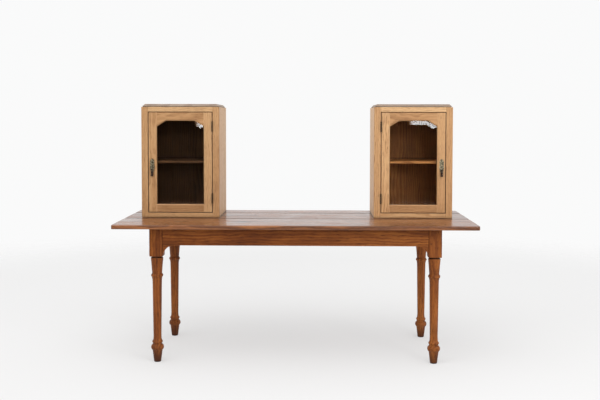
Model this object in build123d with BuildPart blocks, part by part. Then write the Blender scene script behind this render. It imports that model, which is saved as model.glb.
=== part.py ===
from build123d import *
import os
from math import hypot

# Communion table: a turned-leg table that carries a mirror-image pair of glazed cabinets.
# Units are millimetres. The origin lies on the floor, under the middle of the table.
# X runs along the table, +Y runs away from the front, +Z is up.

os.makedirs("parts", exist_ok=True)

# ---- table ------------------------------------------------------------------------------
TOP_LENGTH = 1965.0
TOP_HEIGHT = 765.0
TOP_THICKNESS = 23.0
BOARD_WIDTHS = {"front": 334.0, "middle": 300.0, "back": 172.0}
SEAM = 2.0
TOP_CORNER_RADIUS = 14.0
TOP_ARRIS = 6.0
UNDERSIDE_ARRIS = 3.0
SEAM_ARRIS = 3.0

LEG_X = 756.0
LEG_Y = 286.0
LEG_BLOCK = 73.0
BLOCK_BOTTOM = 583.0
BLOCK_EASE = 3.0

APRON_BOTTOM = 645.0
APRON_THICKNESS = 24.0
APRON_SETBACK = 1.5
TENON_THICKNESS = 10.0
TENON_LENGTH = 28.0
TENON_SHOULDER = 12.0
BRACKET_WIDTH = 64.0
BRACKET_HEIGHT = 55.0
BRACKET_THICKNESS = 21.0

PEG_RADIUS = 4.2
PEG_LENGTH = 36.0
PEG_STAND_OUT = 0.8
PEG_INSET = 14.0
PEG_HEIGHTS = (658.0, 698.0)

BEARER_X = 330.0
BEARER_WIDTH = 62.0
BEARER_HEIGHT = 28.0

# ---- cabinet case -----------------------------------------------------------------------
CABINET_X = 667.5
CABINET_FRONT = -30.0
CABINET_WIDTH = 448.0
CABINET_DEPTH = 375.0
CABINET_HEIGHT = 635.0
CASE_CORNER_RADIUS = 5.0
SIDE_THICKNESS = 18.0
FLOOR_THICKNESS = 18.0
HOUSING = 6.0
BACK_THICKNESS = 8.0
BACK_REBATE = 10.0
BACK_BOARDS = 4
BACK_GROOVE = 1.5

FRAME_THICKNESS = 20.0
OPENING_WIDTH = 371.0
RAIL_HEIGHT = 28.0
FRAME_TENON_LENGTH = 22.0
FRAME_TENON_THICKNESS = 7.0
FRAME_TENON_HEIGHT = 17.0

CAP_SHADOW_INSET = 9.0
CAP_SHADOW_HEIGHT = 3.0
CAP_INSET = 5.0
CAP_THICKNESS = 14.0
CAP_BEVEL = 13.5

SHELF_TOP = 325.0
SHELF_THICKNESS = 14.0
SHELF_SETBACK = 16.0
SHELF_CLEARANCE = 0.5
CLEAT_WIDTH = 12.0
CLEAT_HEIGHT = 14.0

# ---- cabinet door -----------------------------------------------------------------------
DOOR_THICKNESS = 20.0
DOOR_GAP = 3.0
SIGHT_WIDTH = 270.0
SIGHT_BOTTOM = 77.0
SIGHT_TOP = 556.0
CLIP_WIDTH = 53.0
CLIP_HEIGHT = 33.0
EDGE_WIDTH = 6.5
EDGE_DEPTH = 4.0
LIP_DEPTH = 8.0
DOOR_TENON_THICKNESS = 7.0
DOOR_TENON_LENGTH = 30.0
DOOR_TENON_HEIGHT = 26.0
DOOR_TENON_INSET = 6.0

GLASS_THICKNESS = 2.0
GLASS_LAP = 5.5
GLASS_BEVEL = 21.0
GLASS_RAISE = 2.5
GLASS_CLEARANCE = 0.3
BEAD_OVERHANG = 2.0

# ---- hinges -----------------------------------------------------------------------------
HINGE_PROUD = 3.6
HINGE_HEIGHT = 56.0
HINGE_CENTRES = (110.0, 523.0)
LEAF_THICKNESS = 1.2
LEAF_REACH = 16.0
KNUCKLE_RADIUS = 3.2
KNUCKLE_GAP = 0.2
PIN_RADIUS = 1.5
PIN_CLEARANCE = 0.07
PIN_TIP_RADIUS = 2.5

# ---- lock and pull ----------------------------------------------------------------------
PLATE_INSET = 21.0
PLATE_THICKNESS = 1.6
PLATE_TOP = 338.0
PLATE_BOTTOM = 258.0
KEYHOLE_HEIGHT = 294.0
KEYHOLE_RADIUS = 2.8
KEY_SLOT_WIDTH = 3.0
KEY_SLOT_LENGTH = 8.0
NAIL_RADIUS = 1.5
NAIL_HEIGHTS = (264.0, 331.0)

PIVOT_HEIGHT = 276.0
PIVOT_PROUD = 8.5
LUG_INNER = 4.8
LUG_THICKNESS = 2.5
LUG_RADIUS = 4.0
BARREL_LENGTH = 9.2
DROP_BOTTOM = 238.0

CASE_WIDTH = 39.5
CASE_THICKNESS = 11.0
CASE_BELOW = 26.0
CASE_ABOVE = 20.0
CASE_WALL = 1.2
LOCK_SETBACK = 0.5
BOLT_LENGTH = 33.0
BOLT_THICKNESS = 5.0
BOLT_HEIGHT = 12.0
BOLT_ABOVE_KEYHOLE = 4.0
BOLT_CLEARANCE = 0.3
BOLT_SETBACK = 0.8
TALON_WIDTH = 6.0
TALON_DEPTH = 4.0

EASE = 0.8

# ---- derived places ---------------------------------------------------------------------
TOP_UNDERSIDE = TOP_HEIGHT - TOP_THICKNESS
TOP_WIDTH = sum(BOARD_WIDTHS.values()) + 2 * SEAM
BLOCK_OUTER_X = LEG_X + LEG_BLOCK / 2
BLOCK_INNER_X = LEG_X - LEG_BLOCK / 2
BLOCK_OUTER_Y = LEG_Y + LEG_BLOCK / 2
BLOCK_INNER_Y = LEG_Y - LEG_BLOCK / 2
TENON_INSET = APRON_SETBACK + (APRON_THICKNESS - TENON_THICKNESS) / 2

# The left cabinet is drawn, and the right one is its mirror image.
CX = -CABINET_X
CASE_LEFT = CX - CABINET_WIDTH / 2
CASE_RIGHT = CX + CABINET_WIDTH / 2
CASE_BACK = CABINET_FRONT + CABINET_DEPTH
CASE_TOP = TOP_HEIGHT + CABINET_HEIGHT
FRAME_BACK = CABINET_FRONT + FRAME_THICKNESS
OPENING_LEFT = CX - OPENING_WIDTH / 2
OPENING_RIGHT = CX + OPENING_WIDTH / 2
OPENING_BOTTOM = TOP_HEIGHT + RAIL_HEIGHT
OPENING_TOP = CASE_TOP - RAIL_HEIGHT
DOOR_LEFT = OPENING_LEFT + DOOR_GAP
DOOR_RIGHT = OPENING_RIGHT - DOOR_GAP
DOOR_BOTTOM = OPENING_BOTTOM + DOOR_GAP
DOOR_TOP = OPENING_TOP - DOOR_GAP
DOOR_BACK = CABINET_FRONT + DOOR_THICKNESS
SIGHT_LEFT = CX - SIGHT_WIDTH / 2
SIGHT_RIGHT = CX + SIGHT_WIDTH / 2
HINGE_X = OPENING_RIGHT - DOOR_GAP / 2
HINGE_Y = CABINET_FRONT - HINGE_PROUD
PLATE_X = DOOR_LEFT + PLATE_INSET
PLATE_FRONT = CABINET_FRONT - PLATE_THICKNESS
PIVOT_Y = PLATE_FRONT - PIVOT_PROUD
PIVOT_Z = TOP_HEIGHT + PIVOT_HEIGHT
KEYHOLE_Z = TOP_HEIGHT + KEYHOLE_HEIGHT


# ---- shared helpers ---------------------------------------------------------------------
def block(x_limits, y_limits, z_limits, mode=Mode.ADD):
    """Add, cut or keep a box between pairs of limits in the part being built."""
    limits = (x_limits, y_limits, z_limits)
    centre = tuple((low + high) / 2 for low, high in limits)
    size = tuple(high - low for low, high in limits)
    with Locations(centre):
        Box(*size, mode=mode)


def rod(centre, radius, length, axis, mode=Mode.ADD):
    """Add or cut a round rod about its centre, along X, Y or Z."""
    turns = {"x": (0, 90, 0), "y": (90, 0, 0), "z": (0, 0, 0)}
    with Locations(Location(centre, turns[axis])):
        Cylinder(radius, length, mode=mode)


def upright_face(points, y):
    """A face in an upright plane at depth y, from its (x, z) corners."""
    with BuildSketch(Plane.XZ.offset(-y)) as outline:
        with BuildLine():
            Polyline(*points, close=True)
        make_face()
    return outline.sketch


def on_side(side, low, high):
    """Limits given on the positive side of an axis, carried to the side asked for."""
    return (low, high) if side > 0 else (-high, -low)


def save(piece, name):
    """Label one finished piece and write it."""
    piece.label = name
    export_step(piece, f"parts/{name}.step")


def save_pair(piece, name):
    """Write a left cabinet piece, and its mirror image for the right cabinet."""
    save(piece, f"left_{name}")
    save(piece.mirror(Plane.YZ), f"right_{name}")


# ---- table ------------------------------------------------------------------------------
def top_boards():
    """Lengthwise boards of the top, with a rounded rim and eased seams."""
    with BuildPart() as top:
        with BuildSketch(Plane.XY.offset(TOP_UNDERSIDE)):
            RectangleRounded(TOP_LENGTH, TOP_WIDTH, TOP_CORNER_RADIUS)
        extrude(amount=TOP_THICKNESS)
        fillet(top.faces().sort_by(Axis.Z)[-1].edges(), TOP_ARRIS)
        fillet(top.faces().sort_by(Axis.Z)[0].edges(), UNDERSIDE_ARRIS)

    y = -TOP_WIDTH / 2
    for place, width in BOARD_WIDTHS.items():
        edges = [edge for edge in (y, y + width) if abs(edge) < TOP_WIDTH / 2 - 1]
        with BuildPart() as board:
            add(top.part)
            block(
                (-TOP_LENGTH, TOP_LENGTH),
                (y, y + width),
                (TOP_UNDERSIDE, TOP_HEIGHT),
                Mode.INTERSECT,
            )
            for edge in edges:
                inward = SEAM_ARRIS if edge == y else -SEAM_ARRIS
                with BuildSketch(Plane.YZ):
                    with Locations((edge, TOP_HEIGHT)):
                        Rectangle(2 * SEAM_ARRIS, 2 * SEAM_ARRIS)
                    with Locations((edge + inward, TOP_HEIGHT - SEAM_ARRIS)):
                        Circle(SEAM_ARRIS, mode=Mode.SUBTRACT)
                extrude(amount=TOP_LENGTH, both=True, mode=Mode.SUBTRACT)
        save(board.part, f"top_board_{place}")
        y += width + SEAM


def tenon_pegs():
    """Round oak pegs, two through each apron tenon, as one group."""
    reach = PEG_LENGTH / 2 - PEG_STAND_OUT
    with BuildPart() as pegs:
        for side_x in (-1, 1):
            for side_y in (-1, 1):
                for z in PEG_HEIGHTS:
                    long_apron = (
                        side_x * (BLOCK_INNER_X + PEG_INSET),
                        side_y * (BLOCK_OUTER_Y - reach),
                        z,
                    )
                    end_apron = (
                        side_x * (BLOCK_OUTER_X - reach),
                        side_y * (BLOCK_INNER_Y + PEG_INSET),
                        z,
                    )
                    rod(long_apron, PEG_RADIUS, PEG_LENGTH, "y")
                    rod(end_apron, PEG_RADIUS, PEG_LENGTH, "x")
    save(pegs.part, "tenon_pegs")
    return pegs.part


def tenon_heights():
    """Lower and upper limit of every apron tenon."""
    return (APRON_BOTTOM + TENON_SHOULDER, TOP_UNDERSIDE - TENON_SHOULDER)


def aprons(pegs):
    """Four aprons between the leg blocks, tenoned at both ends."""
    heights = (APRON_BOTTOM, TOP_UNDERSIDE)
    for side, place in ((-1, "front"), (1, "back")):
        outer = BLOCK_OUTER_Y - APRON_SETBACK
        with BuildPart() as apron:
            faces = on_side(side, outer - APRON_THICKNESS, outer)
            block((-BLOCK_INNER_X, BLOCK_INNER_X), faces, heights)
            chamfer(apron.faces().sort_by(Axis.Z)[0].edges().filter_by(Axis.X), EASE)
            cheek = BLOCK_OUTER_Y - TENON_INSET
            tenon = on_side(side, cheek - TENON_THICKNESS, cheek)
            end = BLOCK_INNER_X + TENON_LENGTH
            block((-end, end), tenon, tenon_heights())
            add(pegs, mode=Mode.SUBTRACT)
        save(apron.part, f"apron_{place}")
    for side, place in ((-1, "left"), (1, "right")):
        outer = BLOCK_OUTER_X - APRON_SETBACK
        with BuildPart() as apron:
            faces = on_side(side, outer - APRON_THICKNESS, outer)
            block(faces, (-BLOCK_INNER_Y, BLOCK_INNER_Y), heights)
            chamfer(apron.faces().sort_by(Axis.Z)[0].edges().filter_by(Axis.Y), EASE)
            cheek = BLOCK_OUTER_X - TENON_INSET
            tenon = on_side(side, cheek - TENON_THICKNESS, cheek)
            end = BLOCK_INNER_Y + TENON_LENGTH
            block(tenon, (-end, end), tenon_heights())
            add(pegs, mode=Mode.SUBTRACT)
        save(apron.part, f"apron_{place}")


def turned_shank():
    """The turned part of a leg below its block: cup, collar, tapering shaft and foot."""
    with BuildPart() as shank:
        with BuildSketch(Plane.XZ):
            with BuildLine():
                Line((0, 0), (17.5, 0))
                Line((17.5, 0), (19.5, 3))
                Line((19.5, 3), (26.5, 60))
                TangentArc((26.5, 60), (28.5, 66), tangent=(0, 1))
                ThreePointArc((28.5, 66), (35, 81), (30, 94))
                ThreePointArc((30, 94), (25.5, 99), (26, 105))
                ThreePointArc((26, 105), (29, 111), (26, 117))
                Spline((26, 117), (22.4, 131), (21.8, 150), tangents=((-0.7, 1), (0.02, 1)))
                Line((21.8, 150), (25.2, 420))
                Spline((25.2, 420), (25.8, 448), (28, 462), tangents=((0.013, 1), (0.5, 1)))
                Line((28, 462), (28, 468))
                ThreePointArc((28, 468), (33, 477), (28, 486))
                Spline(
                    (28, 486),
                    (28, 502),
                    (30.6, 535),
                    (33, 560),
                    (33.6, 570),
                    tangents=((-0.3, 1), (0.0, 1)),
                )
                ThreePointArc((33.6, 570), (32.7, 574.5), (29, 577))
                Line((29, 577), (27, 577))
                Line((27, 577), (27, BLOCK_BOTTOM + BLOCK_EASE))
                Line((27, BLOCK_BOTTOM + BLOCK_EASE), (0, BLOCK_BOTTOM + BLOCK_EASE))
                Line((0, BLOCK_BOTTOM + BLOCK_EASE), (0, 0))
            make_face()
        revolve(axis=Axis.Z)
    return shank.part


def legs(pegs):
    """Four legs: a square mortised block over the turned shank."""
    shank = turned_shank()
    half = LEG_BLOCK / 2
    for side_x, place_x in ((-1, "left"), (1, "right")):
        for side_y, place_y in ((-1, "front"), (1, "back")):
            x, y = side_x * LEG_X, side_y * LEG_Y
            with BuildPart() as leg:
                block((x - half, x + half), (y - half, y + half), (BLOCK_BOTTOM, TOP_UNDERSIDE))
                fillet(leg.faces().sort_by(Axis.Z)[0].edges(), BLOCK_EASE)
                chamfer(leg.edges().filter_by(Axis.Z), EASE)
                with Locations((x, y, 0)):
                    add(shank)
                long_cheek = BLOCK_OUTER_Y - TENON_INSET
                block(
                    on_side(side_x, BLOCK_INNER_X - EASE, BLOCK_INNER_X + TENON_LENGTH),
                    on_side(side_y, long_cheek - TENON_THICKNESS, long_cheek),
                    tenon_heights(),
                    Mode.SUBTRACT,
                )
                end_cheek = BLOCK_OUTER_X - TENON_INSET
                block(
                    on_side(side_x, end_cheek - TENON_THICKNESS, end_cheek),
                    on_side(side_y, BLOCK_INNER_Y - EASE, BLOCK_INNER_Y + TENON_LENGTH),
                    tenon_heights(),
                    Mode.SUBTRACT,
                )
                add(pegs, mode=Mode.SUBTRACT)
            save(leg.part, f"leg_{place_y}_{place_x}")


def bracket_profile(plane):
    """A corner bracket's outline: square to the leg and apron, hollow on the free edge."""
    tip = APRON_BOTTOM - BRACKET_HEIGHT
    with BuildSketch(plane) as profile:
        with BuildLine():
            Line((0, APRON_BOTTOM), (BRACKET_WIDTH, APRON_BOTTOM))
            TangentArc((BRACKET_WIDTH, APRON_BOTTOM), (0, tip), tangent=(-1, 0))
            Line((0, tip), (0, APRON_BOTTOM))
        make_face()
    return profile.sketch


def apron_brackets():
    """Eight small hollow-cut brackets under the apron ends, as one group."""
    long_plane_y = BLOCK_OUTER_Y - APRON_SETBACK - APRON_THICKNESS / 2
    end_plane_x = BLOCK_OUTER_X - APRON_SETBACK - APRON_THICKNESS / 2
    with BuildPart() as brackets:
        for side_x in (-1, 1):
            for side_y in (-1, 1):
                along_front = Plane(
                    origin=(side_x * BLOCK_INNER_X, side_y * long_plane_y, 0),
                    x_dir=(-side_x, 0, 0),
                    z_dir=(0, side_x, 0),
                )
                along_end = Plane(
                    origin=(side_x * end_plane_x, side_y * BLOCK_INNER_Y, 0),
                    x_dir=(0, -side_y, 0),
                    z_dir=(-side_y, 0, 0),
                )
                for plane in (along_front, along_end):
                    extrude(bracket_profile(plane), amount=BRACKET_THICKNESS / 2, both=True)
    save(brackets.part, "apron_brackets")


def top_bearers():
    """Two cross bearers under the top, between the long aprons, that tie its boards."""
    reach = BLOCK_OUTER_Y - APRON_SETBACK - APRON_THICKNESS
    with BuildPart() as bearers:
        for x in (-BEARER_X, BEARER_X):
            block(
                (x - BEARER_WIDTH / 2, x + BEARER_WIDTH / 2),
                (-reach, reach),
                (TOP_UNDERSIDE - BEARER_HEIGHT, TOP_UNDERSIDE),
            )
        lower_edges = bearers.edges().group_by(Axis.Z)[0].filter_by(Axis.Y)
        chamfer(lower_edges, 4 * EASE)
    save(bearers.part, "top_bearers")


# ---- cabinet case -----------------------------------------------------------------------
def floor_heights():
    """Lower and upper face of the cabinet floor board."""
    return (OPENING_BOTTOM - FLOOR_THICKNESS, OPENING_BOTTOM)


def case_side(name, outer_x, inward):
    """One side board, housed for the floor and rebated for the back."""
    inner_x = outer_x + inward * SIDE_THICKNESS
    rebate_x = inner_x - inward * BACK_REBATE
    housing_x = inner_x - inward * HOUSING
    back_front = CASE_BACK - BACK_THICKNESS
    with BuildPart() as side:
        block(sorted((outer_x, inner_x)), (FRAME_BACK, CASE_BACK), (TOP_HEIGHT, CASE_TOP))
        outer_edges = side.edges().filter_by(Axis.Z).sort_by(Axis.X, reverse=inward < 0)[:2]
        chamfer(outer_edges, EASE)
        block(
            sorted((rebate_x, inner_x)),
            (back_front, CASE_BACK),
            (TOP_HEIGHT, CASE_TOP),
            Mode.SUBTRACT,
        )
        block(
            sorted((housing_x, inner_x)),
            (FRAME_BACK, back_front),
            floor_heights(),
            Mode.SUBTRACT,
        )
    save_pair(side.part, name)


def case_floor():
    """Floor board, housed in both sides and flush with the bottom rail."""
    reach = CABINET_WIDTH / 2 - SIDE_THICKNESS + HOUSING
    with BuildPart() as floor:
        block(
            (CX - reach, CX + reach),
            (FRAME_BACK, CASE_BACK - BACK_THICKNESS),
            floor_heights(),
        )
    save_pair(floor.part, "case_floor")


def case_back():
    """Boarded back in the rebates, with a V groove at each joint between boards."""
    reach = CABINET_WIDTH / 2 - SIDE_THICKNESS + BACK_REBATE
    faces = (CASE_BACK - BACK_THICKNESS, CASE_BACK)
    pitch = 2 * reach / BACK_BOARDS
    with BuildPart() as back:
        block((CX - reach, CX + reach), faces, (TOP_HEIGHT, CASE_TOP))
        with BuildSketch(Plane.XY.offset(TOP_HEIGHT)):
            for joint in range(1, BACK_BOARDS):
                x = CX - reach + joint * pitch
                with Locations(*((x, y) for y in faces)):
                    Rectangle(BACK_GROOVE, BACK_GROOVE, rotation=45)
        extrude(amount=CABINET_HEIGHT, mode=Mode.SUBTRACT)
    save_pair(back.part, "case_back")


def case_cap():
    """Top board with a bevel on three sides and a shadow line under it."""
    inset_limits = (CASE_LEFT + CAP_SHADOW_INSET, CASE_RIGHT - CAP_SHADOW_INSET)
    bevel_foot = CASE_TOP + CAP_SHADOW_HEIGHT
    with BuildPart() as cap:
        block(
            (CASE_LEFT + CAP_INSET, CASE_RIGHT - CAP_INSET),
            (CABINET_FRONT + CAP_INSET, CASE_BACK),
            (bevel_foot, bevel_foot + CAP_THICKNESS),
        )
        rim = cap.faces().sort_by(Axis.Z)[-1].edges().sort_by(Axis.Y)[:3]
        chamfer(rim, CAP_BEVEL)
        block(
            inset_limits,
            (CABINET_FRONT + CAP_SHADOW_INSET, CASE_BACK),
            (CASE_TOP, bevel_foot),
        )
    save_pair(cap.part, "case_cap")


def frame_tenon(rail_bottom):
    """Depth and height limits of a face frame tenon in a rail that starts at rail_bottom."""
    middle_y = CABINET_FRONT + FRAME_THICKNESS / 2
    middle_z = rail_bottom + RAIL_HEIGHT / 2
    return (
        (middle_y - FRAME_TENON_THICKNESS / 2, middle_y + FRAME_TENON_THICKNESS / 2),
        (middle_z - FRAME_TENON_HEIGHT / 2, middle_z + FRAME_TENON_HEIGHT / 2),
    )


def frame_rails():
    """Top and bottom rails of the face frame, tenoned into its stiles."""
    reach = OPENING_WIDTH / 2 + FRAME_TENON_LENGTH
    for name, bottom in (("bottom", TOP_HEIGHT), ("top", OPENING_TOP)):
        with BuildPart() as rail:
            block(
                (OPENING_LEFT, OPENING_RIGHT),
                (CABINET_FRONT, FRAME_BACK),
                (bottom, bottom + RAIL_HEIGHT),
            )
            front_edges = rail.faces().sort_by(Axis.Y)[0].edges().filter_by(Axis.X)
            chamfer(front_edges, EASE)
            tenon_y, tenon_z = frame_tenon(bottom)
            block((CX - reach, CX + reach), tenon_y, tenon_z)
        save_pair(rail.part, f"frame_rail_{name}")


def frame_stile(name, limits):
    """One stile of the face frame, rounded on the case corner and mortised for the rails."""
    hinge_side = limits[0] > CX
    mortise = (OPENING_RIGHT, OPENING_RIGHT + FRAME_TENON_LENGTH)
    if not hinge_side:
        mortise = (OPENING_LEFT - FRAME_TENON_LENGTH, OPENING_LEFT)
    with BuildPart() as stile:
        block(limits, (CABINET_FRONT, FRAME_BACK), (TOP_HEIGHT, CASE_TOP))
        front = stile.edges().filter_by(Axis.Z).group_by(Axis.Y)[0]
        front = front.sort_by(Axis.X, reverse=hinge_side)
        fillet(front[0], CASE_CORNER_RADIUS)
        chamfer(front[1], EASE)
        for bottom in (TOP_HEIGHT, OPENING_TOP):
            tenon_y, tenon_z = frame_tenon(bottom)
            block(mortise, tenon_y, tenon_z, Mode.SUBTRACT)
        if hinge_side:
            for height in HINGE_CENTRES:
                block(*leaf_limits(height, 1), Mode.SUBTRACT)
    save_pair(stile.part, name)


def shelf():
    """Loose shelf with an eased front edge, and the two cleats that carry it."""
    reach = CABINET_WIDTH / 2 - SIDE_THICKNESS
    top = TOP_HEIGHT + SHELF_TOP
    front = DOOR_BACK + SHELF_SETBACK
    back = CASE_BACK - BACK_THICKNESS
    with BuildPart() as board:
        block(
            (CX - reach + SHELF_CLEARANCE, CX + reach - SHELF_CLEARANCE),
            (front, back - SHELF_CLEARANCE),
            (top - SHELF_THICKNESS, top),
        )
        chamfer(board.faces().sort_by(Axis.Y)[0].edges().filter_by(Axis.X), 2 * EASE)
    save_pair(board.part, "shelf")

    cleat_top = top - SHELF_THICKNESS
    with BuildPart() as cleats:
        for near, far in ((CX - reach, CX - reach + CLEAT_WIDTH), (CX + reach - CLEAT_WIDTH, CX + reach)):
            block((near, far), (front, back), (cleat_top - CLEAT_HEIGHT, cleat_top))
        chamfer(cleats.edges().group_by(Axis.Z)[0].filter_by(Axis.X), 4 * EASE)
    save_pair(cleats.part, "shelf_cleats")


# ---- cabinet door -----------------------------------------------------------------------
def sight_outline(grow):
    """Corners of the glass opening with its clipped top corners, grown outwards."""
    half = SIGHT_WIDTH / 2 + grow
    bottom = TOP_HEIGHT + SIGHT_BOTTOM - grow
    top = TOP_HEIGHT + SIGHT_TOP + grow
    slant = hypot(CLIP_WIDTH, CLIP_HEIGHT)
    clip_width = CLIP_WIDTH + grow * (1 - (slant - CLIP_WIDTH) / CLIP_HEIGHT)
    clip_height = CLIP_HEIGHT + grow * (1 - (slant - CLIP_HEIGHT) / CLIP_WIDTH)
    return [
        (CX - half, bottom),
        (CX + half, bottom),
        (CX + half, top - clip_height),
        (CX + half - clip_width, top),
        (CX - half + clip_width, top),
        (CX - half, top - clip_height),
    ]


def door_blank():
    """The door frame as one ring, with its bevelled inner edge and its glazing rebate."""
    lip_back = CABINET_FRONT + LIP_DEPTH
    edge_foot = CABINET_FRONT + EDGE_DEPTH
    with BuildPart() as blank:
        block((DOOR_LEFT, DOOR_RIGHT), (CABINET_FRONT, DOOR_BACK), (DOOR_BOTTOM, DOOR_TOP))
        chamfer(blank.faces().sort_by(Axis.Y)[0].edges(), EASE)
        sight = upright_face(sight_outline(0), CABINET_FRONT)
        extrude(sight, amount=-DOOR_THICKNESS, mode=Mode.SUBTRACT)
        edge_sections = [
            upright_face(sight_outline(EDGE_WIDTH), CABINET_FRONT).face(),
            upright_face(sight_outline(0), edge_foot).face(),
        ]
        loft(edge_sections, ruled=True, mode=Mode.SUBTRACT)
        rebate = upright_face(sight_outline(EDGE_WIDTH), lip_back)
        extrude(rebate, amount=LIP_DEPTH - DOOR_THICKNESS, mode=Mode.SUBTRACT)
    return blank.part


def door_tenons():
    """Height limits of the bottom and the top tenon of the door rails."""
    low = DOOR_BOTTOM + DOOR_TENON_INSET
    high = DOOR_TOP - DOOR_TENON_INSET
    return {"bottom": (low, low + DOOR_TENON_HEIGHT), "top": (high - DOOR_TENON_HEIGHT, high)}


def door_tenon_depth():
    """Depth limits of the door tenons, in the middle of the door's thickness."""
    middle = CABINET_FRONT + DOOR_THICKNESS / 2
    return (middle - DOOR_TENON_THICKNESS / 2, middle + DOOR_TENON_THICKNESS / 2)


def door_rails(blank):
    """Top and bottom door rails; the top one carries the clipped corners."""
    middle = (DOOR_BOTTOM + DOOR_TOP) / 2
    zones = {"bottom": (DOOR_BOTTOM, middle), "top": (middle, DOOR_TOP)}
    for name, heights in zones.items():
        with BuildPart() as rail:
            add(blank)
            block(
                (SIGHT_LEFT, SIGHT_RIGHT),
                (CABINET_FRONT, DOOR_BACK),
                heights,
                Mode.INTERSECT,
            )
            block(
                (SIGHT_LEFT - DOOR_TENON_LENGTH, SIGHT_RIGHT + DOOR_TENON_LENGTH),
                door_tenon_depth(),
                door_tenons()[name],
            )
        save_pair(rail.part, f"door_rail_{name}")


def door_stiles(blank):
    """Lock stile with its keyhole, and hinge stile with its leaf recesses."""
    heights = (DOOR_BOTTOM, DOOR_TOP)
    depth = (CABINET_FRONT, DOOR_BACK)
    with BuildPart() as lock_stile:
        add(blank)
        block((DOOR_LEFT, SIGHT_LEFT), depth, heights, Mode.INTERSECT)
        for tenon_z in door_tenons().values():
            mortise = (SIGHT_LEFT - DOOR_TENON_LENGTH, SIGHT_LEFT)
            block(mortise, door_tenon_depth(), tenon_z, Mode.SUBTRACT)
        cut_keyhole(CABINET_FRONT, DOOR_BACK)
    save_pair(lock_stile.part, "door_stile_lock")

    with BuildPart() as hinge_stile:
        add(blank)
        block((SIGHT_RIGHT, DOOR_RIGHT), depth, heights, Mode.INTERSECT)
        for tenon_z in door_tenons().values():
            mortise = (SIGHT_RIGHT, SIGHT_RIGHT + DOOR_TENON_LENGTH)
            block(mortise, door_tenon_depth(), tenon_z, Mode.SUBTRACT)
        for height in HINGE_CENTRES:
            block(*leaf_limits(height, -1), Mode.SUBTRACT)
    save_pair(hinge_stile.part, "door_stile_hinge")


def door_glass():
    """Bevelled glass: a thin pane in the rebate, raised inside the sight line."""
    pane_front = CABINET_FRONT + LIP_DEPTH
    with BuildPart() as glass:
        pane = upright_face(sight_outline(GLASS_LAP), pane_front)
        extrude(pane, amount=-GLASS_THICKNESS)
        bevel_sections = [
            upright_face(sight_outline(-GLASS_CLEARANCE), pane_front).face(),
            upright_face(sight_outline(-GLASS_BEVEL), pane_front - GLASS_RAISE).face(),
        ]
        loft(bevel_sections, ruled=True)
    save_pair(glass.part, "door_glass")


def glazing_beads():
    """Six mitred beads behind the glass, as one group of separate strips."""
    bead_front = CABINET_FRONT + LIP_DEPTH + GLASS_THICKNESS
    outer = sight_outline(EDGE_WIDTH)
    inner = sight_outline(-BEAD_OVERHANG)
    beads = []
    for k in range(len(outer)):
        following = (k + 1) % len(outer)
        corners = [outer[k], outer[following], inner[following], inner[k]]
        with BuildPart() as bead:
            extrude(upright_face(corners, bead_front), amount=bead_front - DOOR_BACK)
        beads.append(bead.part.solid())
    save_pair(Compound(beads), "glazing_beads")


# ---- hinges -----------------------------------------------------------------------------
def leaf_limits(height, side):
    """Box of one hinge leaf; side is 1 on the frame and -1 on the door."""
    near = HINGE_X + side * DOOR_GAP / 2
    far = near + side * LEAF_THICKNESS
    middle = TOP_HEIGHT + height
    return (
        tuple(sorted((near, far))),
        (CABINET_FRONT, CABINET_FRONT + LEAF_REACH),
        (middle - HINGE_HEIGHT / 2, middle + HINGE_HEIGHT / 2),
    )


def knuckle_limits(height):
    """Heights of a hinge's three knuckles, from the bottom up."""
    third = HINGE_HEIGHT / 3
    bottom = TOP_HEIGHT + height - HINGE_HEIGHT / 2
    half_gap = KNUCKLE_GAP / 2
    return (
        (bottom, bottom + third - half_gap),
        (bottom + third + half_gap, bottom + 2 * third - half_gap),
        (bottom + 2 * third + half_gap, bottom + 3 * third),
    )


def add_knuckle(height_limits, leaf):
    """Add a knuckle about the hinge axis and the tab that joins it to its leaf."""
    low, high = height_limits
    rod((HINGE_X, HINGE_Y, (low + high) / 2), KNUCKLE_RADIUS, high - low, "z")
    block(leaf[0], (HINGE_Y, CABINET_FRONT), height_limits)


def hinge_frame_leaves():
    """Frame halves of both hinges: leaf, outer knuckles and the pin with its tips."""
    with BuildPart() as leaves:
        for height in HINGE_CENTRES:
            leaf = leaf_limits(height, 1)
            block(*leaf)
            lower, _, upper = knuckle_limits(height)
            add_knuckle(lower, leaf)
            add_knuckle(upper, leaf)
            rod((HINGE_X, HINGE_Y, TOP_HEIGHT + height), PIN_RADIUS, HINGE_HEIGHT, "z")
            with Locations((HINGE_X, HINGE_Y, lower[0]), (HINGE_X, HINGE_Y, upper[1])):
                Sphere(PIN_TIP_RADIUS)
    save_pair(leaves.part, "hinge_frame_leaves")


def hinge_door_leaves():
    """Door halves of both hinges: leaf and middle knuckle, bored for the pin."""
    with BuildPart() as leaves:
        for height in HINGE_CENTRES:
            leaf = leaf_limits(height, -1)
            block(*leaf)
            middle = knuckle_limits(height)[1]
            add_knuckle(middle, leaf)
            bore = PIN_RADIUS + PIN_CLEARANCE
            rod((HINGE_X, HINGE_Y, TOP_HEIGHT + height), bore, HINGE_HEIGHT, "z", Mode.SUBTRACT)
    save_pair(leaves.part, "hinge_door_leaves")


# ---- lock and pull ----------------------------------------------------------------------
def cut_keyhole(front, back):
    """Cut the keyhole, a round hole over a slot, between two depths."""
    depth = back - front
    middle = (front + back) / 2
    rod((PLATE_X, middle, KEYHOLE_Z), KEYHOLE_RADIUS, depth, "y", Mode.SUBTRACT)
    block(
        (PLATE_X - KEY_SLOT_WIDTH / 2, PLATE_X + KEY_SLOT_WIDTH / 2),
        (front, back),
        (KEYHOLE_Z - KEY_SLOT_LENGTH, KEYHOLE_Z),
        Mode.SUBTRACT,
    )


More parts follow.
